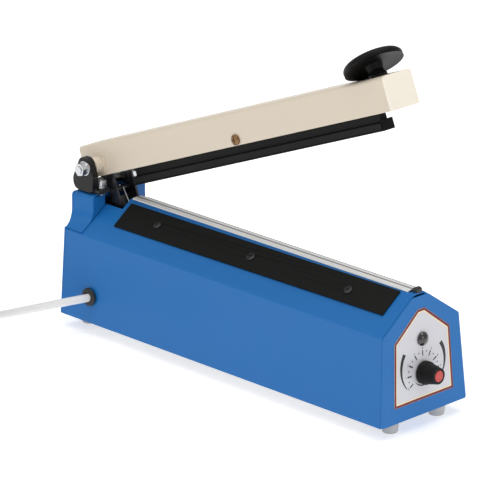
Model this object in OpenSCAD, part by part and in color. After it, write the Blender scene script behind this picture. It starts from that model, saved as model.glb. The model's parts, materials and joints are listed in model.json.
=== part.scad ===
// Hand-operated impulse heat sealer for bench use.
// Millimetres. +X runs along the body towards the control panel, +Z is up.
// The origin is under the middle of the machine, on the surface it stands on.

/* [Body] */
// Length of the sheet-metal body along its bottom edge
body_l = 303; // [296:1:312]
// Width of the body across its bottom edge
body_w = 80; // [80:0.5:82]
// Height of the shoulder fold above the bottom edge
shoulder_z = 60.1; // [59.5:0.1:60.5]
// Width across the shoulder folds
shoulder_w = 70.8; // [70.8:0.1:71.4]
// Height of the ridge flat that carries the seal bar
ridge_z = 81.9; // [81.8:0.1:82]
// Thickness of the folded sheet
sheet_t = 1.2; // [1:0.1:1.3]
// Backward lean of the front plate in degrees
front_tilt = 3.3; // [2.8:0.1:3.8]
// Height of the rubber feet
foot_h = 9; // [8:0.5:12]

/* [Control panel] */
// Height of the timer knob's axis above the bottom edge, along the plate
knob_z = 28.5; // [27:0.5:30]
// Height of the indicator lamp's axis, along the plate
lamp_z = 51.2; // [49:0.5:53]
// Diameter of the knob's skirt
knob_d = 15.5; // [14:0.5:17]
// Length of the knob
knob_h = 13; // [11:0.5:15]

/* [Pressure arm] */
// Angle at which the open arm stands
arm_open = 21.9; // [18:0.1:22]
// Width of the arm's channel
arm_w = 24.6; // [24.4:0.1:25]
// Length of the arm in front of the pivot
arm_front = 291.3; // [288:0.1:293]
// Height of the pivot above the bottom edge of the body
pivot_z = 103.3; // [103.3:0.1:103.8]

/* [Handle] */
// Diameter of the mushroom handle
handle_d = 40.6; // [36:0.2:44]
// Backward lean of the handle from the arm's normal
handle_lean = 19; // [0:1:22]
// Sideways lean of the handle
handle_side = 8; // [0:1:10]

/* [Mains cord] */
// Diameter of the cord
cord_d = 5.6; // [5:0.1:6]

/* [Hidden] */
$fn = 64;
tt = front_tilt;
sl = (ridge_z - shoulder_z) / (shoulder_w / 2 - 4.6);   // slope of the roof sheets
sa = atan(sl);
rear_x = -body_l / 2;
piv_x = -141;
arm_rear = -16;
arm_top = 14.4;
arm_bot = -8.4;
pad_bot = 83.1 - pivot_z;          // underside of the pressure pad below the pivot
arm_wall = 1.2;
knob_gap = 1.2;
// Middle of the machine between its rearmost and foremost points, cord left aside
x_lo = piv_x + arm_rear * cos(arm_open) - arm_top * sin(arm_open);
x_hi = body_l / 2 - knob_z * sin(tt) + (knob_h + 1.57) * cos(tt) + 3.7 * sin(tt);
ox = -(x_lo + x_hi) / 2;
grommet_x = -123;
grommet_z = 18.6;
wall_a = atan((body_w - shoulder_w) / 2 / shoulder_z);   // lean of the side walls
cr = cord_d / 2;
flo = cr - foot_h;                  // height of a cord that lies on the bench
// Free stretch of the cord, from the grommet to the coil
route = [[-123, -27, 18.6], [-123, -34, 18.6], [-123, -41.6, 18.4], [-125, -47, 18.2], [-132, -57, 16.5], [-142, -63, 13], [-153, -67, 9],
         [-166, -70, 4], [-178, -71, -0.6], [-188, -70.6, flo + 2], [-198, -69.8, flo + 0.4], [-205, -69.4, flo], [-211.9, -69.3, flo]];
coil_c = [-212, -109];
coil_r = 34;
// Tail of the cord, from the coil to the plug
tail = [[-211.9, -145.8, flo + 5.3], [-204, -145.8, flo + 5.7], [-195, -145.8, flo + 5.6], [-183, -145.8, flo + 3.4], [-172, -145.8, flo + 1.2]];

// ---------- helpers ----------
function unit(v) = v / norm(v);
function fil(p0, p1, p2, r, n) = r <= 0 ? [p1] :
    let (a = unit(p0 - p1), b = unit(p2 - p1), an = acos(a * b), t = r / tan(an / 2),
         c = p1 + unit(a + b) * (r / sin(an / 2)), s = p1 + a * t - c, e = p1 + b * t - c,
         a0 = atan2(s[1], s[0]), a1 = atan2(e[1], e[0]), d = ((a1 - a0 + 540) % 360) - 180)
    [for (i = [0:n]) c + r * [cos(a0 + d * i / n), sin(a0 + d * i / n)]];
// Closed outline with each corner rounded to its own radius
function rpoly(p, r, n = 5) = [for (i = [0:len(p) - 1]) each fil(p[(i - 1 + len(p)) % len(p)], p[i], p[(i + 1) % len(p)], r[i], n)];
function nrm(a, b) = let (d = unit(b - a)) [-d[1], d[0]];
// Outline moved inwards by d (corners counter-clockwise)
function inset(p, d) = [for (i = [0:len(p) - 1]) let (a = nrm(p[(i - 1 + len(p)) % len(p)], p[i]), b = nrm(p[i], p[(i + 1) % len(p)])) p[i] + (a + b) * d / (1 + a * b)];
function crom(a, b, c, d, t) = 0.5 * ((2 * b) + (c - a) * t + (2 * a - 5 * b + 4 * c - d) * t * t + (3 * b - a - 3 * c + d) * t * t * t);
function smooth(p, k) = [for (i = [0:len(p) - 2]) for (j = [0:k - 1]) crom(p[max(i - 1, 0)], p[i], p[i + 1], p[min(i + 2, len(p) - 1)], j / k), p[len(p) - 1]];
// Round tube swept along points, m sides
module tube(p, r, m) {
    n = len(p);
    tg = [for (i = [0:n - 1]) unit(p[min(i + 1, n - 1)] - p[max(i - 1, 0)])];
    pts = [for (i = [0:n - 1]) let (s = unit(cross(tg[i], [0.05, 0.03, 1])), u = cross(s, tg[i])) for (j = [0:m - 1]) p[i] + r * (cos(360 * j / m) * s + sin(360 * j / m) * u)];
    polyhedron(pts, concat([[for (j = [0:m - 1]) m - 1 - j]], [for (i = [0:n - 2]) for (j = [0:m - 1]) [i * m + j, i * m + (j + 1) % m, (i + 1) * m + (j + 1) % m, (i + 1) * m + j]], [[for (j = [0:m - 1]) (n - 1) * m + j]]));
}
// Insulated lead with soft bends
module lead(p, r) tube(smooth(p, 3), r, 6);
module B() translate([ox, 0, foot_h]) children();                                         // body frame
module F() B() translate([body_l / 2, 0, 0]) rotate([0, -tt, 0]) children();               // front plate: x out of it, z up along it
module A() B() translate([piv_x, 0, pivot_z]) rotate([0, -arm_open, 0]) children();        // arm frame: x along the arm from the pivot
module alongx(x0, x1) translate([x0, 0, 0]) rotate([90, 0, 90]) linear_extrude(x1 - x0) children();
module hex(af, h) cylinder(d = af / cos(30), h = h, $fn = 6);
module boxc(x0, x1, y0, y1, z0, z1) translate([x0, y0, z0]) cube([x1 - x0, y1 - y0, z1 - z0]);
// Cross-recessed pan head on +Z with its shank below
module pan_screw(hr, hh, sr, len) difference() {
    union() { cylinder(r = hr, h = hh * 0.55); translate([0, 0, hh * 0.55]) cylinder(r1 = hr, r2 = hr * 0.62, h = hh * 0.45); translate([0, 0, -len]) cylinder(r = sr, h = len + 0.01); }
    for (a = [0, 90]) rotate(a) translate([-hr * 0.55, -hr * 0.12, hh * 0.45]) cube([hr * 1.1, hr * 0.24, hh]);
}

body_out = [[body_w / 2, 0], [shoulder_w / 2, shoulder_z], [4.6, ridge_z], [-4.6, ridge_z], [-shoulder_w / 2, shoulder_z], [-body_w / 2, 0]];
body_in0 = inset(body_out, sheet_t);
body_in = [for (i = [0:5]) i == 0 ? body_in0[0] + [0.16, -3] : i == 5 ? body_in0[5] + [-0.16, -3] : body_in0[i]];
module body_outline() polygon(rpoly(body_out, [0, 2.2, 1.2, 1.2, 2.2, 0]));
module body_inside() polygon(rpoly(body_in, [0, 1.2, 0.6, 0.6, 1.2, 0]));
// Everything in front of a plane d behind the front plate's outer face
module ahead(d) translate([body_l / 2, 0, 0]) rotate([0, -tt, 0]) translate([-d, -60, -20]) cube([60, 120, 200]);
// Frame of the near roof sheet: x along the body, y up the slope, z out of the sheet
module slope(side) translate([0, side * shoulder_w / 2, shoulder_z]) rotate([0, 0, side > 0 ? 180 : 0]) rotate([sa, 0, 0]) children();

// ---------- fixed body ----------
module body_shell() color("royalblue") B() difference() {
    alongx(rear_x + 1.35, body_l / 2) body_outline();
    alongx(rear_x, body_l / 2 + 2) body_inside();
    ahead(1.4);
    boxc(-117.6, 141.3, -4.2, 4.2, 70, 90);                       // slot for the seal bar
    boxc(-134.5, -118, -12.4, 12.4, 66, 90);                      // opening for the arm's tongue
    boxc(-149, -134.3, -23, 23, 64, 90);                          // opening under the hinge tower
    translate([grommet_x, -body_w / 2, grommet_z]) rotate([90 - wall_a, 0, 0]) cylinder(r = 4.3, h = 8, center = true);
    for (s = [-1, 1], x = [-80, 9, 98]) slope(s) translate([s > 0 ? -x : x, 24.6 , -3]) cylinder(r = 1.7, h = 6);
}
module front_plate() color("royalblue") F() {
    difference() {
        alongx(-sheet_t, 0) polygon(rpoly([[body_w / 2, 0], [shoulder_w / 2, shoulder_z], [7.4, 80], [-7.4, 80], [-shoulder_w / 2, shoulder_z], [-body_w / 2, 0]], [1.5, 2, 2, 2, 2, 1.5]));
        translate([0, 0, knob_z]) rotate([0, 90, 0]) cylinder(r = 3.7, h = 10, center = true);
        translate([0, 0, lamp_z]) rotate([0, 90, 0]) cylinder(r = 4.1, h = 10, center = true);
    }
}
module front_flange() color("royalblue") B() difference() {
    boxc(body_l / 2 - 14, body_l / 2 - 1.0, -36, 36, 0.05, 1.2);
    for (s = [-1, 1]) translate([body_l / 2 - 8, s * 32, 0]) cylinder(r = 1.7, h = 6, center = true);
    for (s = [-1, 1]) translate([142, s * 22, 0]) cylinder(r = 2.2, h = 6, center = true);
}
module rear_plate() color("royalblue") B() {
    difference() {
        alongx(rear_x, rear_x + sheet_t) polygon(concat([[body_w / 2, 0], [shoulder_w / 2, shoulder_z + 0.4]], [for (i = [0:8]) let (a = 10 * i) [35.3 - 7.2 * sin(a), 61 + 14 * (1 - cos(a))]], fil([28.1, 75], [28.1, 84.9], [-28.1, 84.9], 2.5, 5), fil([28.1, 84.9], [-28.1, 84.9], [-28.1, 75], 2.5, 5), [for (i = [8:-1:0]) let (a = 10 * i) [-35.3 + 7.2 * sin(a), 61 + 14 * (1 - cos(a))]], [[-shoulder_w / 2, shoulder_z + 0.4], [-body_w / 2, 0]]));
        for (s = [-1, 1]) translate([rear_x, s * 4.5, 71]) rotate([0, 90, 0]) cylinder(r = 1.25, h = 10, center = true);
    }
    difference() {
        boxc(rear_x + sheet_t - 0.01, rear_x + 14, -36, 36, 0.05, 1.2);
        for (s = [-1, 1]) translate([-142, s * 22, 0]) cylinder(r = 2.2, h = 6, center = true);
    }
}
// Half-width of the tower at station x (wider at the rear) and height z
function tower_y(x, z) = let (w = 24.4 + (28.3 - 24.4) * (-134.2 - x) / 17.2, k = min(1, max(0, (75 - z) / 14))) w + (shoulder_w / 2 + 0.5 - w) * pow(k, 2.3);
function tower_ring(x, d) = let (zs = [for (i = [0:10]) 61.2 + i * 1.38], w = tower_y(x, 80) - d, top = 85 - d, r = 3.2 - d)
    concat([for (z = zs) [x, tower_y(x, z) - d, z + (z < 62 ? -0.0 : 0)]], [for (a = [0:15:90]) [x, w - r + r * cos(a), top - r + r * sin(a)]], [for (a = [90:15:180]) [x, -(w - r) + r * cos(a), top - r + r * sin(a)]], [for (i = [10:-1:0]) [x, -(tower_y(x, zs[i]) - d), zs[i]]]);
module tower_solid(d, x0, x1) {
    n = len(tower_ring(x0, d)); st = 4;
    pts = [for (k = [0:st]) each tower_ring(x0 + (x1 - x0) * k / st, d)];
    polyhedron(pts, concat([for (j = [0:n / 2 - 2]) [j, j + 1, n - 2 - j, n - 1 - j]], [for (k = [0:st - 1]) for (j = [0:n - 1]) each [[k * n + j, (k + 1) * n + (j + 1) % n, k * n + (j + 1) % n], [k * n + j, (k + 1) * n + j, (k + 1) * n + (j + 1) % n]]], [for (j = [0:n / 2 - 2]) [st * n + n - 1 - j, st * n + n - 2 - j, st * n + j + 1, st * n + j]]), convexity = 6);
}
module hinge_tower() color("royalblue") B() difference() {
    union() {
        difference() {
            tower_solid(0, rear_x + 1.35, -134.2);
            tower_solid(1.2, rear_x, -133);
        }
        // front flanges, one each side of the tongue's opening
        for (s = [-1, 1]) difference() {
            alongx(-135.4, -134.2) polygon(concat([[s * 13.4, 83], [s * 23.8, 83]], [for (z = [75:-1:66]) [s * (tower_y(-134.2, z) - 0.6), z]], [[s * 13.4, ridge_z - (13.4 - 4.6) * sl + 0.35]]));
        }
    }
    for (s = [-1, 1]) translate([-137.6, s * 14.4, 84]) cylinder(r = 2.6, h = 6, center = true);
    for (s = [-1, 1]) translate([-148.4, s * 16.2, 84]) cylinder(r = 1.8, h = 6, center = true);
    boxc(-144, -130, -10.6, 10.6, 78, 90);                        // notch for the tongue
    boxc(-160, -130, -60, 60, 50, 61.2);
    // the roof sheets pass under the tower
    difference() { alongx(-152, -134) polygon([[-36.2, 50], [-36.2, shoulder_z + 0.35], [-35.4, shoulder_z + 0.35], [-4.6, ridge_z + 0.35 * 1.2], [4.6, ridge_z + 0.35 * 1.2], [35.4, shoulder_z + 0.35], [36.2, shoulder_z + 0.35], [36.2, 50]]); boxc(-153, -130, -23.5, 23.5, 40, 90); }
}
module base_plate() color("lightsteelblue") B() difference() {
    boxc(rear_x + 1.5, body_l / 2 - 1.9, -body_w / 2 + 1.9, body_w / 2 - 1.9, 1.45, 2.65);
    for (sx = [-1, 1], sy = [-1, 1]) translate([sx * 142, sy * 22, 0]) cylinder(r = 2.05, h = 10, center = true);
    for (s = [-1, 1]) translate([body_l / 2 - 8, s * 32, 0]) cylinder(r = 1.65, h = 10, center = true);
    for (x = [-84, 14]) translate([x, 0, 0]) cylinder(r = 2.1, h = 10, center = true);
}
module base_screws() color("silver") B() {
    for (s = [-1, 1]) translate([body_l / 2 - 8, s * 32, -0.05]) mirror([0, 0, 1]) pan_screw(3, 2, 1.5, 6);
    for (sx = [-1, 1], sy = [-1, 1]) translate([sx * 142, sy * 22, 4.15 - foot_h]) mirror([0, 0, 1]) pan_screw(3.4, 2.4, 1.95, 9.6);
}
module rubber_feet() color("gainsboro") B() for (sx = [-1, 1], sy = [-1, 1]) translate([sx * 142, sy * 22, -foot_h]) rotate_extrude()
    polygon([[2.2, 4.2], [3.6, 4.2], [3.6, 0], [4.6, 0], [5.0, 0.35], [5.2, 0.9], [6, foot_h - 0.6], [6, foot_h - 0.15], [2.2, foot_h - 0.15]]);
module guard_strip(side) B() slope(side) difference() {
    translate([side > 0 ? -10.8 : 10.8, 24.8, 0.15]) rotate([0, 0, side > 0 ? 0 : 0.5]) translate([-124.4, -10.4, 0]) cube([248.8, 20.8, 1.1]);
    for (x = [-80, 9, 98]) translate([side > 0 ? -x : x, 24.6, 0]) cylinder(r = 1.9, h = 6, center = true);
}
module guard_strip_near() color([0.11, 0.11, 0.1]) guard_strip(-1);
module guard_strip_far() color([0.11, 0.11, 0.1]) guard_strip(1);
module guard_screws() color([0.2, 0.2, 0.2]) B() for (s = [-1, 1], x = [-80, 9, 98]) slope(s) translate([s > 0 ? -x : x, 24.6 , 1.3]) pan_screw(3, 1.0, 1.5, 6.5);

// ---------- control panel ----------
label_o = [[27.9, 10.3], [26, 53.8], [3.3, 71.7], [-3.3, 71.7], [-26, 53.8], [-27.9, 10.3]];
module label_plate() color("whitesmoke") F() difference() {
    alongx(0.02, 0.32) polygon(rpoly(label_o, [1, 1.5, 2, 2, 1.5, 1], 4));
    translate([0, 0, knob_z]) rotate([0, 90, 0]) cylinder(r = 3.7, h = 10, center = true);
    translate([0, 0, lamp_z]) rotate([0, 90, 0]) cylinder(r = 4.1, h = 10, center = true);
}
module indicator_lens() color([0.12, 0.03, 0.04]) F() translate([0, 0, lamp_z]) rotate([0, 90, 0]) {
    translate([0, 0, 0.4]) cylinder(r = 4.7, h = 1);
    intersection() { translate([0, 0, 1.35 - 2.6]) sphere(r = 5.35); translate([0, 0, 1.39]) cylinder(r = 6, h = 6); }
}
module indicator_body() color([0.15, 0.15, 0.15]) F() translate([0, 0, lamp_z]) rotate([0, 90, 0]) { translate([0, 0, -18]) cylinder(r = 4, h = 18.35); translate([0, 0, -3.4]) difference() { cylinder(r = 6, h = 2); cylinder(r = 4.03, h = 5); } }
module timer_knob() color([0.08, 0.08, 0.08]) F() translate([0.32, 0, knob_z]) rotate([0, 90, 0]) difference() {
    union() {
        translate([0, 0, knob_gap - 0.3]) cylinder(r = knob_d / 2, h = 3.2);
        translate([0, 0, knob_gap + 2.89]) cylinder(r1 = 7.3, r2 = 5.4, h = knob_h - 3.2);
        rotate(180) translate([0, -0.5, knob_gap + 2.8]) cube([knob_d / 2 - 0.3, 1, 0.9]);
    }
    cylinder(r = 3.05, h = 9.2);
    translate([0, 0, knob_h - 0.6]) cylinder(r = 3.75, h = 3);
    translate([0, 0, -1]) cylinder(r = 5.9, h = 3.6);
}
module knob_cap() color([0.8, 0.2, 0.2]) F() translate([0.32, 0, knob_z]) rotate([0, 90, 0]) { translate([0, 0, knob_h - 0.55]) cylinder(r = 3.7, h = 1.5); translate([0, 0, knob_h + 0.94]) cylinder(r1 = 3.7, r2 = 3.4, h = 0.31); }
module timer_potentiometer() color("silver") F() translate([0, 0, knob_z]) rotate([0, 90, 0]) difference() {
    union() { translate([0, 0, -11]) cylinder(r = 8.2, h = 9.7); translate([0, 0, -1.4]) cylinder(r = 3.5, h = 3.95); translate([8, -6, -9]) cube([7, 12, 1]); }
    translate([0, 0, -9.3]) cylinder(r = 3.05, h = 20);
}
module potentiometer_shaft() color("silver") F() translate([0, 0, knob_z]) rotate([0, 90, 0]) translate([0, 0, -9]) cylinder(r = 3, h = 18.3);
module potentiometer_nut() color("silver") F() translate([0.34, 0, knob_z]) rotate([0, 90, 0]) difference() { hex(9, 1.9); translate([0, 0, -1]) cylinder(r = 3.52, h = 5); }
module timer_board() color("darkgreen") B() difference() { boxc(64, 126, -24, 24, 10, 11.6); for (x = [68, 122], y = [-20, 20]) translate([x, y, 8]) cylinder(r = 1.7, h = 6); }
module board_standoffs() color("silver") B() for (x = [68, 122], y = [-20, 20]) translate([x, y, 2.7]) { difference() { hex(5.5, 7.25); translate([0, 0, 3]) cylinder(r = 1.3, h = 9); } translate([0, 0, 8.95]) mirror([0, 0, 0]) pan_screw(2.6, 1.8, 1.25, 4); }
module board_components() color("darkslategray") B() {
    boxc(70, 89, -8, 8, 11.62, 27);                     // relay
    for (p = [[98, -12, 5, 14], [98, 10, 4, 11], [111, 12, 3.2, 9], [108, -14, 4, 12]]) translate([p[0], p[1], 11.62]) cylinder(r = p[2], h = p[3]);
    boxc(104, 114, -4, 2.5, 11.62, 15);                 // timing chip
    boxc(74, 84, 12, 20, 11.62, 21);                    // terminal
    for (x = [94, 97, 100]) translate([x, -1, 12.8]) rotate([90, 0, 0]) cylinder(r = 1.15, h = 6.4, center = true);
}
module transformer_core() color("dimgray") B() difference() { boxc(-64, -6, -25, 25, 2.8, 50); for (s = [-1, 1]) boxc(-35 + s * 14.5 - 5, -35 + s * 14.5 + 5, -26, 26, 12.5, 40.5); }
module transformer_coil() color("goldenrod") B() difference() { boxc(-54.2, -15.8, -34, 34, 12.8, 40.2); boxc(-44.7, -25.3, -25.3, 25.3, 0, 60); }
module transformer_strap() color("silver") B() difference() {
    union() { boxc(-66.2, -64.3, -12, 12, 2.7, 52.2); boxc(-5.7, -3.8, -12, 12, 2.7, 52.2); boxc(-66.2, -3.8, -12, 12, 50.3, 52.2); boxc(-90, -64.4, -12, 12, 2.7, 4.6); boxc(-5.6, 20, -12, 12, 2.7, 4.6); }
    for (x = [-84, 14]) translate([x, 0, 0]) cylinder(r = 2.1, h = 20, center = true);
}
module fuse_holder() color([0.15, 0.15, 0.15]) B() { boxc(-100, -92, 16, 30, 2.7, 6.5); for (x = [-99.5, -94.5]) boxc(x, x + 2, 18, 28, 6.4, 12.4); translate([-101, 23, 11]) rotate([0, 90, 0]) cylinder(r = 2.6, h = 10); }
module terminal_block() color("ivory") B() for (i = [0:2]) difference() { boxc(30, 48, -33 + i * 9.2, -24 + i * 9.2, 2.7, 15); for (x = [34.5, 43.5]) translate([x, -28.5 + i * 9.2, 10]) cylinder(r = 2.4, h = 8); }
module inner_wiring() color("firebrick") B() {
    lead([[-121.6, -25.4, 18.6], [-114, -23, 17], [-106, -25, 9], [-96, -31, 6], [-70, -36.0, 6], [20, -35.6, 6], [27.6, -31, 8]], 1.2);
    lead([[-124.4, -25.4, 19.8], [-116, -8, 22], [-108, 12, 16], [-103.4, 21.5, 11.6]], 1.2);
    lead([[49.4, -20, 8], [56, -14, 16], [68.2, 0, 18]], 1.1);
    lead([[-13.8, 28, 30], [10, 28, 40], [60, 12, 58], [130, 2, 66.0]], 1.3);
    lead([[-56.2, 28, 30], [-78, 24, 40], [-96, 14, 58], [-108, 2, 66.0]], 1.3);
    lead([[-143.2, 6.8, 66], [-128, 20, 50], [-104, 33, 26], [-60, 36.0, 7], [30, 35.4, 7], [72, 18.6, 17]], 1.1);
    lead([[128.6, 0, 49.5], [124, 6, 40], [114, 16, 22]], 1.0);
}

// ---------- sealing line ----------
module seal_bar() color("gainsboro") B() difference() {
    union() { alongx(-116.5, 140.2) polygon([[-4, 74], [4, 74], [4, 82.1], [3.7, 82.4], [-3.7, 82.4], [-4, 82.1]]); }
    for (x = [-73, 27, 107]) translate([x, 0, 72]) cylinder(r = 1.6, h = 7);
}
module bar_insulators() color([0.25, 0.14, 0.08]) B() for (x = [-78, 22, 102]) difference() {
    alongx(x, x + 10) polygon([[13, 73.9], [-13, 73.9], [-24, 66], [24, 66]]);
    translate([x + 5, 0, 60]) cylinder(r = 1.6, h = 20);
}
module insulating_tape() color("white") B() boxc(-116, 139.8, -3, 3, 82.42, 82.6);
module heating_element() color([0.35, 0.33, 0.3]) B() { boxc(-117.1, 140.7, -1.2, 1.2, 82.61, 82.8); boxc(-117.1, -116.8, -1.2, 1.2, 67, 82.7); boxc(140.45, 140.7, -1.2, 1.2, 67, 82.7); }
module ptfe_cloth() color([0.93, 0.93, 0.92]) B() alongx(-116.4, 140.3) polygon([[-4.75, 82.0], [-4.3, 82.68], [-1.6, 83.0], [1.6, 83.0], [4.3, 82.68], [4.75, 82.0], [4.6, 81.96], [4.1, 82.5], [1.6, 82.82], [-1.6, 82.82], [-4.1, 82.5], [-4.6, 81.96]]);
module element_terminals() color("goldenrod") B() { for (p = [[-116.75, -109], [133, 140.4]]) difference() { boxc(p[0], p[1], -5, 5, 66.5, 73.6); translate([(p[0] + p[1]) / 2, 0, 70]) rotate([90, 0, 0]) cylinder(r = 1.6, h = 30, center = true); }
    for (x = [-112.9, 136.7]) translate([x, 0, 70]) rotate([90, 0, 0]) { cylinder(r = 1.5, h = 12, center = true); translate([0, 0, 6]) cylinder(r = 3, h = 2); } }
module end_clamp() color([0.06, 0.06, 0.06]) B() difference() {
    union() { boxc(141.7, 146.1, -2.3, 2.3, ridge_z + 0.05, 84); intersection() { boxc(141.7, 146.1, -2.3, 2.3, 83.9, 88); translate([143.9, 0, 82.3]) rotate([90, 0, 0]) cylinder(r = 3, h = 6, center = true); } }
}

// ---------- switch, cord and plug ----------
module microswitch() color([0.12, 0.12, 0.13]) B() { difference() { boxc(-150.15, -143.7, -6.4, 6.4, 68, 74); translate([-140, 0, 71]) rotate([0, -90, 0]) cylinder(r = 1.15, h = 7); for (s = [-1, 1]) translate([rear_x, s * 4.5, 71]) rotate([0, 90, 0]) cylinder(r = 1.1, h = 6.5); } for (y = [-4, 0, 4]) boxc(-148, -147.4, y - 1, y + 1, 64, 68.05);
    for (s = [-1, 1]) translate([rear_x - 0.05, s * 4.5, 71]) rotate([0, -90, 0]) pan_screw(2, 1.3, 1.05, 5); }
module microswitch_plunger() color("firebrick") B() translate([-140.85, 0, 71]) rotate([0, -90, 0]) { cylinder(r = 1.1, h = 4.4); }
module cord_grommet() color([0.07, 0.07, 0.07]) B() translate([grommet_x, -body_w / 2 + grommet_z * tan(wall_a), grommet_z]) rotate([90 - wall_a, 0, 0]) rotate_extrude()
    polygon(concat([[2.95, -3.4], [5.8, -3.4], [5.8, -1.5], [4.2, -1.5], [4.2, 0.1]], [for (a = [-90:18:90]) [4.5 + 1.8 * cos(a), 1.55 + 1.4 * sin(a)]], [[2.95, 2.6]]));
module cord_clamp() color([0.1, 0.1, 0.1]) B() { difference() { boxc(-128, -118, -34.6, -28, 12, 25); translate([-123, 0, 18.6]) rotate([90, 0, 0]) cylinder(r = 3.0, h = 100); } boxc(-126, -120, -34, -30, 2.7, 11.95); }
module mains_cord() color("white") B() { tube(smooth(route, 3), cr, 10); }
module cord_coil() color("white") B() translate([coil_c[0], coil_c[1], -foot_h]) rotate_extrude() polygon(rpoly([[coil_r - 8.6, 0], [coil_r + 8.6, 0], [coil_r + 8.6, 5.4], [coil_r + 5.6, 10.6], [coil_r - 5.6, 10.6], [coil_r - 8.6, 5.4]], [2, 2, 1.5, 2, 2, 1.5], 3));
module cord_tail() color("white") B() tube(smooth(tail, 2), cr, 10);
module cord_tie() color([0.1, 0.1, 0.1]) B() translate([coil_c[0] - coil_r, coil_c[1], -foot_h]) translate([0, 4, 0]) rotate([90, 0, 0]) linear_extrude(8) difference() { polygon(rpoly([[-9.8, 0.0], [9.8, 0.0], [9.8, 6], [6.6, 11.8], [-6.6, 11.8], [-9.8, 6]], [1, 1, 2, 2, 2, 2], 3)); polygon(rpoly([[-9, 0.0], [9, 0.0], [9, 5.6], [6, 11], [-6, 11], [-9, 5.6]], [0, 0, 2, 2, 2, 2], 3)); }
plug_x = -172;
plug_z = 6.7 - foot_h;                // middle of the plug, which rests on the bench
module plug_body() color("white") B() {
    // ribbed neck, level with the cord
    for (i = [0:4]) translate([plug_x + i * 3.4, -145.8, flo + 1.2]) rotate([0, 90, 0]) cylinder(r = cr + 1.2, h = 2.2);
    translate([plug_x, -145.8, flo + 1.2]) rotate([0, 90, 0]) cylinder(r = cr + 0.5, h = 18);
    translate([plug_x + 17, -145.8, plug_z]) linear_extrude(13.4, center = true) polygon(rpoly([[0, -7], [6, -14], [19, -17.6], [22, -17.6], [22, 17.6], [19, 17.6], [6, 14], [0, 7]], [2, 4, 2, 0.6, 0.6, 2, 4, 2], 3));
}
module plug_pins() color("silver") B() for (s = [-1, 1]) translate([plug_x + 39.02, -145.8 + s * 9.3, plug_z]) rotate([0, 90, 0]) { cylinder(r = 2, h = 17); translate([0, 0, 16.99]) cylinder(r1 = 2, r2 = 1.2, h = 2); }

// ---------- hinge ----------
module hinge_bracket() color([0.1, 0.1, 0.1]) B() difference() {
    union() {
        boxc(-153.4, -132.2, -21, 21, 85.05, 88);
        for (s = [-1, 1]) translate([0, s * 22.5, 0]) rotate([90, 0, 0]) translate([0, 0, -2.5]) linear_extrude(5) polygon(rpoly([[-152.6, 86.5], [-134.4, 86.4], [-133.5, 98.5], [-138.6, 110.4], [-146.2, 110.4], [-153.6, 94.5]], [5, 4, 8, 4.5, 4.5, 9], 6));
    }
    boxc(-143.6, -130, -10.4, 10.4, 80, 92);
    translate([piv_x, 0, pivot_z]) rotate([90, 0, 0]) cylinder(r = 2.56, h = 80, center = true);
    for (s = [-1, 1]) translate([-137.6, s * 14.4, 84]) cylinder(r = 2.6, h = 12, center = true);
    for (s = [-1, 1]) translate([-148.4, s * 16.2, 84]) cylinder(r = 1.8, h = 12, center = true);
}
module bracket_bolts() color("silver") B() {
    for (s = [-1, 1]) translate([-137.6, s * 14.4, 83.2]) { cylinder(r = 3.6, h = 0.55); cylinder(r = 2.5, h = 10.8); }
    for (s = [-1, 1]) translate([-148.4, s * 16.2, 88.05]) pan_screw(3.2, 2.1, 1.7, 7);
}
module bracket_nuts() color("lightgray") B() for (s = [-1, 1]) translate([-137.6, s * 14.4, 88.03]) difference() { union() { cylinder(r = 4.3, h = 0.9); translate([0, 0, 0.89]) cylinder(r = 3.6, h = 0.9); translate([0, 0, 1.78]) rotate(30) hex(7.6, 3.7); } translate([0, 0, -1]) cylinder(r = 2.52, h = 10); }
module pivot_bolt() color("silver") B() translate([piv_x, 0, pivot_z]) rotate([90, 0, 0]) { translate([0, 0, -28.6]) hex(8, 3.55); translate([0, 0, -25.1]) cylinder(r = 2.5, h = 25.1 + 31.6); }
module pivot_nut() color("silver") B() translate([piv_x, 0, pivot_z]) rotate([90, 0, 0]) { difference() { union() { translate([0, 0, 25.03]) cylinder(r = 5, h = 1); translate([0, 0, 26.02]) cylinder(r = 4.3, h = 0.9); translate([0, 0, 26.9]) rotate(15) hex(8, 4); } translate([0, 0, 20]) cylinder(r = 2.52, h = 20); } }
module pivot_sleeve() color("gray") B() translate([piv_x, 0, pivot_z]) rotate([90, 0, 0]) difference() { cylinder(r = 4, h = 39.9, center = true); cylinder(r = 2.55, h = 50, center = true); }
module spring_rod() color("silver") B() translate([-113.5, 0, 54]) rotate([90, 0, 0]) cylinder(r = 2, h = 68.4, center = true);
// Tension spring between the tongue's pin and the rod inside the body
sp_a = [piv_x + 1.2 * cos(arm_open) + 20.1 * sin(arm_open), pivot_z + 1.2 * sin(arm_open) - 20.1 * cos(arm_open)];
sp_b = [-113.5, 54];
sp_len = norm(sp_b - sp_a);
sp_ang = atan2(sp_b[1] - sp_a[1], sp_b[0] - sp_a[0]);
module return_spring() color("lightgray") B() translate([sp_a[0], 0, sp_a[1]]) rotate([0, 90 - sp_ang, 0]) {
    coils = 11; c0 = 14.2; c1 = sp_len - 7.5;
    tube([for (i = [0:coils * 12]) let (a = 180 + 30 * i, t = i / (coils * 12)) [2.4 * cos(a), 2.4 * sin(a), c0 + (c1 - c0) * t]], 0.5, 6);
    // hook round the pin and hook round the rod
    tube([for (a = [0:30:270]) [2.3 * sin(a), 0, -2.3 * cos(a)]], 0.5, 6);
    tube([[-2.3, 0, -0.2], [-2.35, 0, 5], [-2.4, 0, 10], [-2.4, 0, 14.3]], 0.5, 6);
    translate([0, 0, sp_len]) tube([for (a = [0:30:270]) [2.8 * sin(a), 0, 2.8 * cos(a)]], 0.5, 6);
    translate([0, 0, sp_len]) tube([[-2.8, 0, 0.2], [-2.7, 0, -3], [-2.5, 0, -5.5], [-2.4, 0, -7.6]], 0.5, 6);
}

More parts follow.
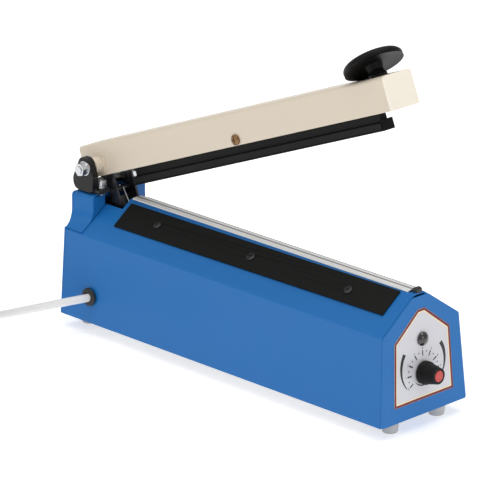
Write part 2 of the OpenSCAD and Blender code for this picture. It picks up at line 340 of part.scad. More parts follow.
// ---------- arm ----------
arm_o = [[-arm_w / 2, arm_bot], [arm_w / 2, arm_bot], [arm_w / 2, arm_top], [-arm_w / 2, arm_top]];
module arm_section() difference() {
    polygon(rpoly(arm_o, [0.5, 0.5, 2.4, 2.4]));
    polygon(rpoly([[-arm_w / 2 + arm_wall, arm_bot + arm_wall], [arm_w / 2 - arm_wall, arm_bot + arm_wall], [arm_w / 2 - arm_wall, arm_top - arm_wall], [-arm_w / 2 + arm_wall, arm_top - arm_wall]], [0, 0, 1.2, 1.2]));
    translate([-9.6, arm_bot - 1]) square([19.2, 4]);
}
module arm_channel() color([0.87, 0.82, 0.75]) A() difference() {
    alongx(arm_rear, arm_front - 2.4) arm_section();
    rotate([90, 0, 0]) cylinder(r = 7.05, h = 60, center = true);
    translate([141, 0, -4.4]) rotate([90, 0, 0]) cylinder(r = 2.05, h = 60, center = true);
    translate([274, 0, 10]) cylinder(r = 3.1, h = 10);
}
module arm_end_cap() color([0.96, 0.92, 0.86]) A() {
    alongx(arm_front - 2.35, arm_front) polygon(rpoly([[-arm_w / 2 - 0.15, arm_bot - 0.1], [arm_w / 2 + 0.15, arm_bot - 0.1], [arm_w / 2 + 0.15, arm_top + 0.1], [-arm_w / 2 - 0.15, arm_top + 0.1]], [0.8, 0.8, 2.6, 2.6]));
    difference() { alongx(arm_front - 9.6, arm_front - 2.34) polygon(rpoly([[-10.7, -6.8], [10.7, -6.8], [10.7, 12.8], [-10.7, 12.8]], [1, 1, 1.5, 1.5])); alongx(arm_front - 13, arm_front - 3.5) polygon([[-9, -8], [9, -8], [9, 11], [-9, 11]]); }
}
// Flanged bushes pressed into the arm's sides, running on the sleeve
module arm_bushes() color([0.75, 0.72, 0.65]) A() for (s = [-1, 1]) rotate([90, 0, 0]) mirror([0, 0, s > 0 ? 1 : 0]) difference() {
    union() { translate([0, 0, 9.3]) cylinder(r = 7, h = 3.6); translate([0, 0, 12.8]) cylinder(r = 5.6, h = 6.7); translate([0, 0, arm_w / 2 + 0.02]) cylinder(r = 7.6, h = 0.8); }
    cylinder(r = 4.04, h = 50, center = true);
}
// U-shaped tongue: works the switch and takes the spring
module arm_tongue() color([0.3, 0.3, 0.32]) A() {
    difference() {
        union() {
            for (s = [-1, 1]) translate([0, s * 8.25, 0]) rotate([90, 0, 0]) translate([0, 0, -0.75]) linear_extrude(1.5) polygon(rpoly([[-1.2, -33], [7, -33], [7, 0], [4, 8], [-6, 8], [-6, -8], [-1.2, -14]], [1, 1.5, 2, 2, 2, 2, 1]));
            boxc(-1.2, 0, -8.2, 8.2, -33, -25);
        }
        rotate([90, 0, 0]) cylinder(r = 4.04, h = 60, center = true);
        translate([1.2, 0, -20.1]) rotate([90, 0, 0]) cylinder(r = 1.52, h = 60, center = true);
    }
    translate([1.2, 0, -20.1]) rotate([90, 0, 0]) { cylinder(r = 1.5, h = 18.4, center = true); for (s = [-1, 1]) translate([0, 0, s * 9.45]) cylinder(r = 2.1, h = 0.9, center = true); }
}
module pressure_bar() color([0.1, 0.1, 0.1]) A() difference() {
    union() {
        alongx(24, 268.6) polygon([[-3, -0.6], [-3, -14.4], [3, -14.4], [3, -0.6]]);
        alongx(22, 270.4) polygon(rpoly([[-6, -14.3], [-6, pad_bot + 1.5], [6, pad_bot + 1.5], [6, -14.3]], [0.8, 0, 0, 0.8], 3));
    }
    translate([141, 0, -4.4]) rotate([90, 0, 0]) cylinder(r = 2.05, h = 60, center = true);
}
module silicone_pad() color([0.14, 0.14, 0.14]) A() { alongx(21.5, 271.2) polygon(rpoly([[-5.2, pad_bot], [5.2, pad_bot], [5.2, pad_bot + 1.48], [-5.2, pad_bot + 1.48]], [0.5, 0.5, 0, 0], 3)); boxc(270.45, 271.2, -5.2, 5.2, pad_bot + 1.4, -12.9); }
module arm_screw() color([0.45, 0.32, 0.2]) A() translate([141, 0, -4.4]) rotate([90, 0, 0]) { translate([0, 0, arm_w / 2 + 0.02]) pan_screw(3.6, 2, 2, 28); translate([0, 0, -arm_w / 2 - 3.2]) difference() { hex(7, 3.15); translate([0, 0, -0.1]) cylinder(r = 1.9, h = 1.0); } }
module H() A() translate([274, 0, arm_top]) rotate([0, -handle_lean, 0]) rotate([-handle_side, 0, 0]) children();
module handle() color([0.05, 0.05, 0.05]) {
    A() translate([274, 0, arm_top + 0.12]) { cylinder(r = 6.2, h = 1.6); translate([0, 0, 1.59]) cylinder(r1 = 5.6, r2 = 4.4, h = 2.2); }
    A() translate([274, 0, arm_top - 4.9]) { cylinder(r = 3, h = 5.5); hex(10, 3.6); }
    H() {
        translate([0, 0, 2.4]) cylinder(r1 = 5.4, r2 = 5, h = 1.3);
        translate([0, 0, 3.5]) cylinder(r1 = 5, r2 = 6.4, h = 5.2);
        translate([0, 0, 7.2]) rotate_extrude() polygon(concat([[0, 0]], [for (t = [0:0.1:1]) [4 + (handle_d / 2 - 4) * t, 0.6 - 1.4 * t * t + 0.8 * t]], [for (a = [-60:20:60]) [handle_d / 2 - 2 + 2 * cos(a), 2.2 + 2.4 * sin(a)]], [for (t = [0.12:0.11:1]) [(handle_d / 2 - 1) * cos(90 * t), 4.2 + 3.2 * sin(90 * t)]], [[0, 7.4]]));
    }
}

body_shell();
union() { front_plate(); front_flange(); }
rear_plate();
hinge_tower();
base_plate();
base_screws();
rubber_feet();
guard_strip_near();
guard_strip_far();
guard_screws();
label_plate();
indicator_lens();
indicator_body();
timer_knob();
knob_cap();
timer_potentiometer();
potentiometer_shaft();
potentiometer_nut();
timer_board();
board_components();
board_standoffs();
transformer_core();
transformer_coil();
transformer_strap();
fuse_holder();
terminal_block();
inner_wiring();
seal_bar();
bar_insulators();
insulating_tape();
heating_element();
ptfe_cloth();
element_terminals();
end_clamp();
microswitch();
microswitch_plunger();
cord_grommet();
cord_clamp();
mains_cord();
cord_coil();
cord_tail();
cord_tie();
plug_body();
plug_pins();
hinge_bracket();
bracket_bolts();
bracket_nuts();
pivot_bolt();
pivot_nut();
pivot_sleeve();
spring_rod();
return_spring();
arm_channel();
arm_end_cap();
arm_bushes();
arm_tongue();
pressure_bar();
silicone_pad();
arm_screw();
handle();
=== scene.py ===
import bpy, bmesh, json, math
from mathutils import Vector, Matrix


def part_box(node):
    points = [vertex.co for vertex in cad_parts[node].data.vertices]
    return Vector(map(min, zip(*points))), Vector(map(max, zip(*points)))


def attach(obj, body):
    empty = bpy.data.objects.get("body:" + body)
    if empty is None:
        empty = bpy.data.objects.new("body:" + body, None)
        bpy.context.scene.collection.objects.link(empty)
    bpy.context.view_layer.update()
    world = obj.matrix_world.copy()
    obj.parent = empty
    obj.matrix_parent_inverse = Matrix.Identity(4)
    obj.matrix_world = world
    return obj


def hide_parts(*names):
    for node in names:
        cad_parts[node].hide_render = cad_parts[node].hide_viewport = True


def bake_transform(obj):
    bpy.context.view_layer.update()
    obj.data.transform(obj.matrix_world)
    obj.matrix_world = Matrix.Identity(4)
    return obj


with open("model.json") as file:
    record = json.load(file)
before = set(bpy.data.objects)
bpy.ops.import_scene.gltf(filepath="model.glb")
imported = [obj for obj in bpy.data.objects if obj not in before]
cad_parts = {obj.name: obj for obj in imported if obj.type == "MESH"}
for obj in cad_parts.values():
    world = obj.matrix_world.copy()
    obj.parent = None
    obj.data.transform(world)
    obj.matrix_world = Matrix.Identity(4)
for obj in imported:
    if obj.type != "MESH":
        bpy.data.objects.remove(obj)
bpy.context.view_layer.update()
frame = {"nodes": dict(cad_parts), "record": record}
N = frame["nodes"]
rec = frame["record"]
J = {j["name"]: j for j in rec["behaviour"]["joints"]}
mm = 0.001
piv = Vector(J["arm_hinge"]["pos_m"])
kp = Vector(J["timer_dial_turn"]["pos_m"])
kax = Vector(J["timer_dial_turn"]["axis"]).normalized()
kup = Vector((-kax.z, 0, kax.x))
O = Vector((piv.x + 0.141, 0, piv.z - 0.1033))      # the body frame's origin in the row frame


def P(x, y, z):
    """Body frame, millimetres, to row frame."""
    return O + Vector((x, y, z)) * mm


def F(x, y, z):
    """Front plate: x out of it from the plate, y across, z up from the knob's axis, millimetres."""
    return kp + kax * (x * mm) + Vector((0, y * mm, 0)) + kup * (z * mm)


# ---------- camera ----------
az, el = math.radians(45.02), math.radians(19.65)
back = Vector((math.sin(az) * math.cos(el), -math.cos(az) * math.cos(el), math.sin(el)))
right = Vector((math.cos(az), math.sin(az), 0))
up = back.cross(right)
target = O + (right * -5.56 + up * 77.15) * mm
cd = bpy.data.cameras.new("camera")
cd.sensor_width = 36
cd.lens = 322.03
cd.clip_start = 0.1
cd.clip_end = 60
cam = bpy.data.objects.new("camera", cd)
bpy.context.scene.collection.objects.link(cam)
cam.matrix_world = Matrix.Translation(target + back * 2.99371) @ Matrix((right, up, back)).transposed().to_4x4()
bpy.context.scene.camera = cam


# ---------- mesh helpers ----------
def link(name, verts, faces, smooth=False):
    me = bpy.data.meshes.new(name)
    me.from_pydata([tuple(v) for v in verts], [], faces)
    bm = bmesh.new()
    bm.from_mesh(me)
    bmesh.ops.recalc_face_normals(bm, faces=bm.faces)
    bm.to_mesh(me)
    bm.free()
    for p in me.polygons:
        p.use_smooth = smooth
    o = bpy.data.objects.new(name, me)
    bpy.context.scene.collection.objects.link(o)
    return o


def smooth_angle(o, deg=35):
    for p in o.data.polygons:
        p.use_smooth = True
    o.data.set_sharp_from_angle(angle=math.radians(deg))


def crom(a, b, c, d, t):
    return 0.5 * ((2 * b) + (c - a) * t + (2 * a - 5 * b + 4 * c - d) * t * t + (3 * b - a - 3 * c + d) * t ** 3)


def crom_path(p, k):
    p = [Vector(q) for q in p]
    out = []
    for i in range(len(p) - 1):
        a, b, c, d = p[max(i - 1, 0)], p[i], p[i + 1], p[min(i + 2, len(p) - 1)]
        out += [crom(a, b, c, d, j / k) for j in range(k)]
    return out + [p[-1]]


def sweep(name, pts, r, sides=16, radius_at=None):
    """Closed round tube along pts, with a frame carried along so it doesn't twist."""
    n = len(pts)
    tan = [(pts[min(i + 1, n - 1)] - pts[max(i - 1, 0)]).normalized() for i in range(n)]
    ref = Vector((0, 0, 1)) if abs(tan[0].z) < 0.9 else Vector((1, 0, 0))
    u = tan[0].cross(ref).normalized()
    verts, faces = [], []
    for i in range(n):
        u = (u - tan[i] * u.dot(tan[i])).normalized()
        w = tan[i].cross(u)
        rr = r if radius_at is None else radius_at(i / (n - 1))
        verts += [pts[i] + (u * math.cos(2 * math.pi * j / sides) + w * math.sin(2 * math.pi * j / sides)) * rr for j in range(sides)]
    for i in range(n - 1):
        for j in range(sides):
            k = (j + 1) % sides
            faces.append((i * sides + j, i * sides + k, (i + 1) * sides + k, (i + 1) * sides + j))
    faces.append(tuple(range(sides - 1, -1, -1)))
    faces.append(tuple((n - 1) * sides + j for j in range(sides)))
    return verts, faces


def sst(t):
    t = min(1.0, max(0.0, t))
    return t * t * (3 - 2 * t)


# ---------- cord ----------
flo = -6.2
route = [[-123, -38, 18.55], [-123, -41.6, 18.4], [-125, -47, 18.2], [-132, -57, 16.5], [-142, -63, 13], [-153, -67, 9],
         [-166, -70, 4], [-178, -71, -0.6], [-188, -70.6, flo + 2], [-198, -69.8, flo + 0.4], [-205, -69.4, flo], [-211.9, -69.3, flo]]
path = [Vector(p) for p in crom_path(route, 6)]
z0, z1 = 30.0, 120.0                                  # the turns step across between these angles


def coil_point(a):
    """Angle a counts on from 90 degrees. Three turns on the bench, then two in their grooves."""
    turns = [(450 - 0, 39.7, 34.0), (810, 34.0, 28.3), (1170, 28.3, 31.15), (1530, 31.15, 36.85)]
    r, z = 39.7, 0.0
    for end, ra, rb in turns:
        s = sst((a - (end - 90)) / 90)
        if a > end - 90:
            r = ra + (rb - ra) * s
    climb = sst((a - 1020) / 105)
    z = 5.7 * climb
    z -= 0.8 * sst((a - 1175) / 30)
    z += 0.8 * sst((a - 1405) / 35)
    z -= 0.8 * sst((a - 1535) / 30)
    z += 0.8 * sst((a - 1640) / 50)
    t = math.radians(a)
    return Vector((-212 + r * math.cos(t), -109 + r * math.sin(t), flo + z))


a = 95.0
while a < 1708:
    path.append(coil_point(a))
    a += 5.0
tail = [[-211.9, -145.85, flo + 5.7], [-204, -145.85, flo + 5.75], [-195, -145.85, flo + 5.6], [-183, -145.85, flo + 3.4], [-172, -145.8, flo + 1.2]]
path += crom_path(tail, 4)
pts = [P(*p) for p in path]
v, f = sweep("cord", pts, 2.8 * mm, 16)
cord = link("mains_lead", v, f, True)
smooth_angle(cord, 50)

# ---------- floor and light ----------
fl = link("floor", [(-8, -8, 0), (8, -8, 0), (8, 8, 0), (-8, 8, 0)], [(0, 1, 2, 3)])
fl.location.z = -0.0002
world = bpy.data.worlds.new("studio")
bpy.context.scene.world = world
world.use_nodes = True
bg = world.node_tree.nodes["Background"]
bg.inputs[0].default_value = (1, 1, 1, 1)
bg.inputs[1].default_value = 0.50
bpy.context.scene.view_settings.view_transform = "Standard"


def area(name, loc, aim, size, power, size_y=None):
    l = bpy.data.lights.new(name, "AREA")
    l.energy = power
    l.size = size
    if size_y:
        l.shape = "RECTANGLE"
        l.size_y = size_y
    o = bpy.data.objects.new(name, l)
    bpy.context.scene.collection.objects.link(o)
    o.location = loc
    o.rotation_euler = (Vector(aim) - Vector(loc)).to_track_quat("-Z", "Y").to_euler()
    return o


area("key", (-0.5, -1.1, 1.5), (0, 0, 0.05), 1.2, 6)
area("top", (0.2, 0.2, 1.8), (0, 0, 0.05), 1.5, 13)
area("front", (1.5, -0.2, 0.7), (0, 0, 0.05), 0.8, 2.5)


# ---------- materials ----------
def material(name, color, rough=0.4, metal=0.0, coat=0.0, grain=600, bump=0.05, depth=0.0001, vary=0.06, rvary=0.12,
             edge_wear_and_highlight=None, stretch=(1, 1, 1), kind="noise", ior=1.5, sheen=0.0):
    m = bpy.data.materials.new(name)
    m.use_nodes = True
    nt = m.node_tree
    nt.nodes.clear()
    new = nt.nodes.new
    L = nt.links.new
    out = new("ShaderNodeOutputMaterial")
    b = new("ShaderNodeBsdfPrincipled")
    L(b.outputs[0], out.inputs[0])
    b.inputs["Metallic"].default_value = metal
    b.inputs["IOR"].default_value = ior
    b.inputs["Coat Weight"].default_value = coat
    b.inputs["Coat Roughness"].default_value = 0.12
    if sheen:
        b.inputs["Sheen Weight"].default_value = sheen
    tc = new("ShaderNodeTexCoord")
    mp = new("ShaderNodeMapping")
    mp.inputs["Scale"].default_value = stretch
    L(tc.outputs["Object"], mp.inputs[0])
    big = new("ShaderNodeTexNoise")
    big.inputs["Scale"].default_value = 22
    big.inputs["Detail"].default_value = 4
    L(mp.outputs[0], big.inputs["Vector"])
    fine = new("ShaderNodeTexNoise") if kind == "noise" else new("ShaderNodeTexVoronoi") if kind == "cell" else new("ShaderNodeTexWave")
    if kind == "weave":
        fine.inputs["Distortion"].default_value = 0.4
    fine.inputs["Scale"].default_value = grain
    L(mp.outputs[0], fine.inputs["Vector"])
    fo = fine.outputs["Fac"] if kind != "cell" else fine.outputs["Distance"]
    hsv = new("ShaderNodeHueSaturation")
    hsv.inputs["Color"].default_value = (*color, 1)
    mr = new("ShaderNodeMapRange")
    mr.inputs[3].default_value = 1 - vary
    mr.inputs[4].default_value = 1 + vary
    L(big.outputs["Fac"], mr.inputs[0])
    L(mr.outputs[0], hsv.inputs["Value"])
    col = hsv.outputs[0]
    # Convex edges (high pointiness) are mixed towards a lighter colour: partly edge wear, partly a painted highlight
    # along the edges.
    if edge_wear_and_highlight:
        g = new("ShaderNodeNewGeometry")
        ramp = new("ShaderNodeMapRange")
        ramp.inputs[1].default_value = 0.53
        ramp.inputs[2].default_value = 0.62
        L(g.outputs["Pointiness"], ramp.inputs[0])
        mul = new("ShaderNodeMath")
        mul.operation = "MULTIPLY"
        L(ramp.outputs[0], mul.inputs[0])
        L(big.outputs["Fac"], mul.inputs[1])
        mix = new("ShaderNodeMix")
        mix.data_type = "RGBA"
        L(mul.outputs[0], mix.inputs[0])
        L(col, mix.inputs[6])
        mix.inputs[7].default_value = (*edge_wear_and_highlight, 1)
        col = mix.outputs[2]
    L(col, b.inputs["Base Color"])
    rr = new("ShaderNodeMapRange")
    rr.inputs[3].default_value = max(0.03, rough - rvary)
    rr.inputs[4].default_value = min(1, rough + rvary)
    L(big.outputs["Fac"], rr.inputs[0])
    L(rr.outputs[0], b.inputs["Roughness"])
    bp = new("ShaderNodeBump")
    bp.inputs["Strength"].default_value = bump
    bp.inputs["Distance"].default_value = depth
    L(fo, bp.inputs["Height"])
    L(bp.outputs[0], b.inputs["Normal"])
    return m


BLUE = (0.0112, 0.1516, 0.4527)
M = {
    "blue_paint": material("blue_enamel", BLUE, 0.38, coat=0.06, ior=1.32, grain=900, bump=0.10, vary=0.03),
    "zinc": material("zinc_plate", (0.62, 0.63, 0.65), 0.28, 1.0, grain=1500, bump=0.15, vary=0.10),
    "rubber_grey": material("grey_rubber", (0.47, 0.47, 0.465), 0.62, grain=1400, bump=0.25, vary=0.05),
    "black_strip": material("black_guard", (0.009, 0.009, 0.0085), 0.60, ior=1.2, grain=2600, bump=0.45, kind="cell", vary=0.12),
    "dark_screw": material("blackened_steel", (0.05, 0.05, 0.05), 0.38, 0.9, grain=1800, bump=0.2, vary=0.15),
    "label": material("label_film", (0.62, 0.62, 0.66), 0.30, coat=0.3, grain=1200, bump=0.05, vary=0.02),
    "lamp_lens": material("lamp_lens", (0.010, 0.004, 0.005), 0.07, coat=1.0, grain=500, bump=0.01, vary=0.05, rvary=0.02),
    "black_plastic": material("black_moulding", (0.014, 0.014, 0.014), 0.42, grain=1800, bump=0.25, vary=0.12),
    "knob_black": material("knob_moulding", (0.008, 0.008, 0.008), 0.44, ior=1.25, grain=2200, bump=0.3, vary=0.12, edge_wear_and_highlight=(0.05, 0.05, 0.05)),
    "knob_red": material("red_moulding", (0.52, 0.035, 0.03), 0.32, coat=0.3, grain=1500, bump=0.10, vary=0.06),
    "board": material("board_fibreglass", (0.02, 0.13, 0.05), 0.4, grain=1500, bump=0.2, kind="weave"),
    "components": material("component_body", (0.03, 0.035, 0.05), 0.4, grain=1500, bump=0.15),
    "core": material("core_laminations", (0.08, 0.08, 0.09), 0.45, 0.8, grain=900, bump=0.5, kind="weave", stretch=(0.05, 1, 0.05)),
    "coil": material("winding_tape", (0.55, 0.33, 0.05), 0.45, grain=700, bump=0.3, kind="weave"),
    "nylon": material("nylon", (0.66, 0.63, 0.55), 0.45, grain=1400, bump=0.15),
    "wire": material("wire_insulation", (0.35, 0.02, 0.02), 0.35, grain=1200, bump=0.08),
    "aluminium": material("drawn_aluminium", (0.72, 0.73, 0.74), 0.26, 1.0, grain=1600, bump=0.25, stretch=(0.02, 1, 1), vary=0.06),
    "bakelite": material("bakelite", (0.07, 0.025, 0.012), 0.4, grain=1000, bump=0.1, vary=0.2),
    "tape": material("glass_tape", (0.80, 0.80, 0.78), 0.7, grain=2600, bump=0.4, kind="weave", sheen=0.2),
    "nichrome": material("nichrome", (0.30, 0.28, 0.25), 0.35, 1.0, grain=1500, bump=0.15, stretch=(0.05, 1, 1), vary=0.2),
    "ptfe": material("coated_cloth", (0.80, 0.80, 0.79), 0.36, coat=0.25, grain=2400, bump=0.35, kind="weave", vary=0.04),
    "brass": material("brass", (0.62, 0.42, 0.14), 0.3, 1.0, grain=1200, bump=0.15),
    "red_button": material("button_moulding", (0.40, 0.03, 0.02), 0.35, grain=1500, bump=0.1),
    "black_rubber": material("black_rubber", (0.014, 0.014, 0.014), 0.55, grain=1700, bump=0.3, vary=0.1),
    "cord_white": material("cord_sheath", (0.80, 0.80, 0.79), 0.36, grain=1100, bump=0.10, vary=0.03),
    "black_enamel": material("black_enamel", (0.007, 0.007, 0.007), 0.32, coat=0.08, ior=1.3, grain=1100, bump=0.15, vary=0.1, edge_wear_and_highlight=(0.09, 0.09, 0.09)),
    "dark_steel": material("oiled_steel", (0.07, 0.07, 0.075), 0.30, 0.85, grain=1300, bump=0.2, vary=0.2, edge_wear_and_highlight=(0.35, 0.35, 0.36)),
    "spring_steel": material("spring_wire", (0.62, 0.62, 0.64), 0.22, 1.0, grain=2000, bump=0.15),
    "beige_paint": material("beige_enamel", (0.70, 0.61, 0.49), 0.40, coat=0.15, grain=900, bump=0.10, vary=0.02),
    "cream_plastic": material("cream_moulding", (0.92, 0.85, 0.73), 0.40, grain=1500, bump=0.12, vary=0.02),
    "bar_black": material("black_anodised", (0.007, 0.007, 0.007), 0.48, 0.0, ior=1.25, grain=1600, bump=0.2, stretch=(0.03, 1, 1), vary=0.12),
    "silicone": material("silicone", (0.008, 0.008, 0.008), 0.66, ior=1.2, grain=1300, bump=0.3, vary=0.1),
    "bronze_screw": material("passivated_steel", (0.26, 0.15, 0.07), 0.34, 0.9, grain=1600, bump=0.2, vary=0.15),
    "handle_black": material("phenolic", (0.004, 0.004, 0.004), 0.42, ior=1.25, grain=700, bump=0.05, vary=0.1, rvary=0.05, edge_wear_and_highlight=(0.03, 0.03, 0.03)),
    "maroon": material("maroon_ink", (0.16, 0.012, 0.014), 0.42, grain=1500, bump=0.05),
    "cream": material("cream_ink", (0.88, 0.72, 0.46), 0.42, grain=1500, bump=0.05),
    "ink": material("black_ink", (0.010, 0.010, 0.012), 0.42, grain=1500, bump=0.05),
    "floor": material("floor", (0.90, 0.90, 0.90), 0.85, grain=40, bump=0.02, vary=0.004),
}
for nd in M["floor"].node_tree.nodes:
    if nd.type == "BSDF_PRINCIPLED":
        nd.inputs["Emission Color"].default_value = (1, 1, 1, 1)
        nd.inputs["Emission Strength"].default_value = 0.45


def line_stain(m, half, colour, soft=0.0003):
    """Darkens a material along y = 0 in the row frame, where the hot ribbon lies under it."""
    nt = m.node_tree
    b = next(n for n in nt.nodes if n.type == "BSDF_PRINCIPLED")
    src = b.inputs["Base Color"].links[0].from_socket
    tc = next(n for n in nt.nodes if n.type == "TEX_COORD")
    sx = nt.nodes.new("ShaderNodeSeparateXYZ")
    nt.links.new(tc.outputs["Object"], sx.inputs[0])
    ab = nt.nodes.new("ShaderNodeMath")
    ab.operation = "ABSOLUTE"
    nt.links.new(sx.outputs[1], ab.inputs[0])
    mr = nt.nodes.new("ShaderNodeMapRange")
    mr.inputs[1].default_value = half
    mr.inputs[2].default_value = half + soft
    mr.inputs[3].default_value = 1
    mr.inputs[4].default_value = 0
    nt.links.new(ab.outputs[0], mr.inputs[0])
    mx = nt.nodes.new("ShaderNodeMix")
    mx.data_type = "RGBA"
    nt.links.new(mr.outputs[0], mx.inputs[0])
    nt.links.new(src, mx.inputs[6])
    mx.inputs[7].default_value = (*colour, 1)
    nt.links.new(mx.outputs[2], b.inputs["Base Color"])


line_stain(M["ptfe"], 0.0006, (0.16, 0.13, 0.11))


def paint(o, m):
    if len(o.material_slots):
        for s in o.material_slots:
            s.material = m
    else:
        o.data.materials.append(m)


slots = {s["node"]: s["material_slot"] for s in rec["subparts"]}
slots["arm_bushes"] = "beige_paint"                   # they read as part of the arm
BEVEL = {"body_shell": 0.25, "front_plate": 0.3, "rear_plate": 0.3, "hinge_tower": 0.25, "guard_strip_near": 0.3, "guard_strip_far": 0.3,
         "base_plate": 0.2, "label_plate": 0.08, "hinge_bracket": 0.5, "arm_channel": 0.3, "arm_end_cap": 0.5, "arm_tongue": 0.3,
         "pressure_bar": 0.3, "silicone_pad": 0.3, "end_clamp": 0.5, "timer_knob": 0.25, "knob_cap": 0.2, "rubber_feet": 0.3, "pivot_nut": 0.25,
         "bracket_nuts": 0.25, "pivot_bolt": 0.25, "plug_body": 0.8, "guard_screws": 0.12, "arm_screw": 0.15, "base_screws": 0.12,
         "bar_insulators": 0.4, "microswitch": 0.3, "cord_clamp": 0.4, "terminal_block": 0.4, "transformer_core": 0.3, "transformer_coil": 1.2,
         "transformer_strap": 0.4, "fuse_holder": 0.3, "cord_grommet": 0.15, "cord_tie": 0.2, "indicator_lens": 0.15, "seal_bar": 0.1,
         "handle": 0.3, "element_terminals": 0.3, "timer_board": 0.15, "board_components": 0.3}
for n, o in N.items():
    paint(o, M[slots[n]])
    if n in BEVEL:
        w = o.modifiers.new("weld", "WELD")
        w.merge_threshold = 0.000002
        bv = o.modifiers.new("bevel", "BEVEL")
        bv.width = BEVEL[n] * mm
        bv.segments = 2
        bv.limit_method = "ANGLE"
        bv.angle_limit = math.radians(38)
        bv.use_clamp_overlap = True
        wn = o.modifiers.new("weighted", "WEIGHTED_NORMAL")
        wn.mode = "FACE_AREA"
        wn.weight = 100
        wn.keep_sharp = False
paint(fl, M["floor"])

# ---------- cord: painted, attached to the base, CAD cord hidden ---
paint(cord, M["cord_white"])
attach(cord, "base")
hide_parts("mains_cord", "cord_coil", "cord_tail")

# ---------- return spring, stretched between the rod and the tongue's pin ----------
ao = math.radians(21.9)
sa = piv + Vector((1.2 * math.cos(ao) + 20.1 * math.sin(ao), 0, 1.2 * math.sin(ao) - 20.1 * math.cos(ao))) * mm
rb0, rb1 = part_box("spring_rod")
sb = Vector(((rb0[0] + rb1[0]) / 2, 0, (rb0[2] + rb1[2]) / 2))
zl = (sb - sa).normalized()
xl = Vector((-abs(zl.z), 0, -abs(zl.x)))
ln = (sb - sa).length / mm


def S(x, y, z):
    return sa + xl * (x * mm) + Vector((0, y * mm, 0)) + zl * (z * mm)


sp = [S(2.3 * math.sin(math.radians(q)), 0, -2.3 * math.cos(math.radians(q))) for q in range(0, 271, 15)]
sp += [S(-2.34, 0, 3), S(-2.38, 0, 7), S(-2.4, 0, 11), S(-2.4, 0, 13.6)]
c0, c1, turns = 14.2, ln - 7.5, 12
for i in range(turns * 20 + 1):
    q = math.pi + 2 * math.pi * i / 20
    sp.append(S(2.4 * math.cos(q), 2.4 * math.sin(q), c0 + (c1 - c0) * i / (turns * 20)))
sp += [S(-2.42, 0, ln - 6.6), S(-2.6, 0, ln - 4.5), S(-2.75, 0, ln - 2.2)]
sp += [S(2.8 * math.sin(math.radians(q)), 0, ln + 2.8 * math.cos(math.radians(q))) for q in range(270, -1, -15)]
v, f = sweep("spring", sp, 0.5 * mm, 10)
spring = link("tension_spring", v, f, True)
smooth_angle(spring, 60)
paint(spring, M["spring_steel"])
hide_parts("return_spring")
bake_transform(spring)


# ---------- printed label ----------
class Print:
    """Thin raised ink shapes on the front label, collected into one mesh."""

    def __init__(self, x0, x1):
        self.v, self.f, self.x0, self.x1 = [], [], x0, x1

    def strip(self, a, b, closed=False):
        n = len(a)
        k = len(self.v)
        for p, q in zip(a, b):
            self.v += [F(self.x0, *p), F(self.x0, *q), F(self.x1, *p), F(self.x1, *q)]
        for i in range(n if closed else n - 1):
            A, B = k + 4 * i, k + 4 * ((i + 1) % n)
            self.f += [(A, B, B + 1, A + 1), (A + 2, A + 3, B + 3, B + 2), (A, A + 2, B + 2, B), (A + 1, B + 1, B + 3, A + 3)]
        if not closed:
            B = k + 4 * (n - 1)
            self.f += [(k, k + 1, k + 3, k + 2), (B, B + 2, B + 3, B + 1)]

    def disc(self, y, z, r, n=16):
        c = [(y + r * math.cos(2 * math.pi * i / n), z + r * math.sin(2 * math.pi * i / n)) for i in range(n)]
        k = len(self.v)
        self.v += [F(self.x0, *p) for p in c] + [F(self.x1, *p) for p in c]
        self.f += [tuple(k + i for i in range(n - 1, -1, -1)), tuple(k + n + i for i in range(n))]
        self.f += [(k + i, k + (i + 1) % n, k + n + (i + 1) % n, k + n + i) for i in range(n)]

    def make(self, name, mat):
        o = link(name, self.v, self.f)
        paint(o, M[mat])
        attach(o, "base")
        return o


kz = 28.5
outline = [(27.9, 10.3 - kz), (26, 53.8 - kz), (3.3, 71.7 - kz), (-3.3, 71.7 - kz), (-26, 53.8 - kz), (-27.9, 10.3 - kz)]


def inset(p, d):
    out = []
    n = len(p)
    for i in range(n):
        a, b, c = Vector(p[i - 1]), Vector(p[i]), Vector(p[(i + 1) % n])
        e, g = (b - a).normalized(), (c - b).normalized()
        na, nb = Vector((-e.y, e.x)), Vector((-g.y, g.x))
        out.append(tuple(b + (na + nb) * d / (1 + na.dot(nb))))
    return out


p1 = Print(0.322, 0.352)
p1.strip(inset(outline, 0.10), inset(outline, 1.80), True)
p1.make("label_border", "maroon")
p2 = Print(0.322, 0.348)
p2.strip(inset(outline, 1.80), inset(outline, 2.60), True)
p2.make("label_inner_line", "cream")
p3 = Print(0.322, 0.352)


def pol(r, deg):
    q = math.radians(deg)
    return (r * math.sin(q), r * math.cos(q))


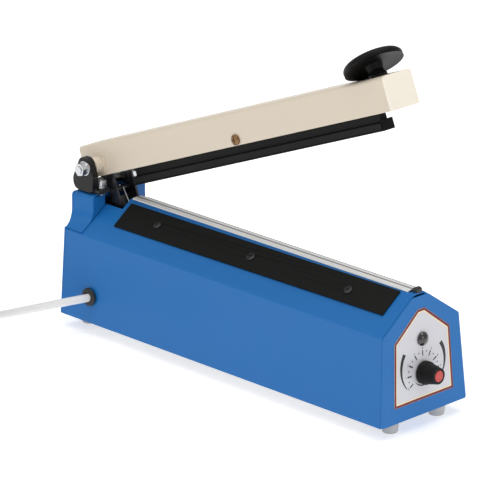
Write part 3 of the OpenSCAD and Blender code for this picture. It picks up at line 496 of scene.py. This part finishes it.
for i in range(-4, 5):
    q = i * 30
    h = 0.50 / 13
    p3.strip([pol(11.1, q - math.degrees(h)), pol(14.8, q - math.degrees(h * 0.9))], [pol(11.1, q + math.degrees(h)), pol(14.8, q + math.degrees(h * 0.9))])
    if i < 4:
        p3.disc(*pol(13.9, q + 15), 0.50, 12)
for s in (-1, 1):
    c = crom_path([(s * 17.0, 16.2, 0), (s * 19.4, 11.5, 0), (s * 20.4, 6.0, 0), (s * 19.9, 0.5, 0), (s * 18.0, -4.2, 0), (s * 15.4, -7.8, 0)], 6)
    wid = [1.45 * (1 - 0.86 * (i / (len(c) - 1)) ** 1.2) for i in range(len(c))]
    A, B = [], []
    for i, q in enumerate(c):
        t = (c[min(i + 1, len(c) - 1)] - c[max(i - 1, 0)]).normalized()
        nrm = Vector((-t.y, t.x, 0))
        A.append(tuple((q + nrm * wid[i])[:2]))
        B.append(tuple((q - nrm * wid[i])[:2]))
    p3.strip(A, B)
arc = [pol(9.2, q) for q in range(150, 241, 6)]
arc2 = [pol(9.2 - 0.85 * math.sin(math.pi * i / (len(arc) - 1)) - 0.08, q) for i, q in enumerate(range(150, 241, 6))]
p3.strip(arc, arc2)
p3.make("dial_marks", "ink")
# dial numbers
for i in range(-4, 5):
    cu = bpy.data.curves.new(f"digit_{i + 4}", "FONT")
    cu.body = str(i + 4)
    cu.size = 2.3 * mm
    cu.extrude = 0.013 * mm
    cu.align_x = "CENTER"
    cu.align_y = "CENTER"
    t = bpy.data.objects.new(f"digit_tmp_{i + 4}", cu)
    bpy.context.scene.collection.objects.link(t)
    y, z = pol(16.2, i * 30)
    me = bpy.data.meshes.new_from_object(t.evaluated_get(bpy.context.evaluated_depsgraph_get()))
    bpy.data.objects.remove(t)
    me.transform(Matrix.Translation(F(0.336, y, z)) @ Matrix((Vector((0, 1, 0)), kup, kax)).transposed().to_4x4())
    o = bpy.data.objects.new(f"dial_number_{i + 4}", me)
    bpy.context.scene.collection.objects.link(o)
    paint(o, M["ink"])
    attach(o, "base")
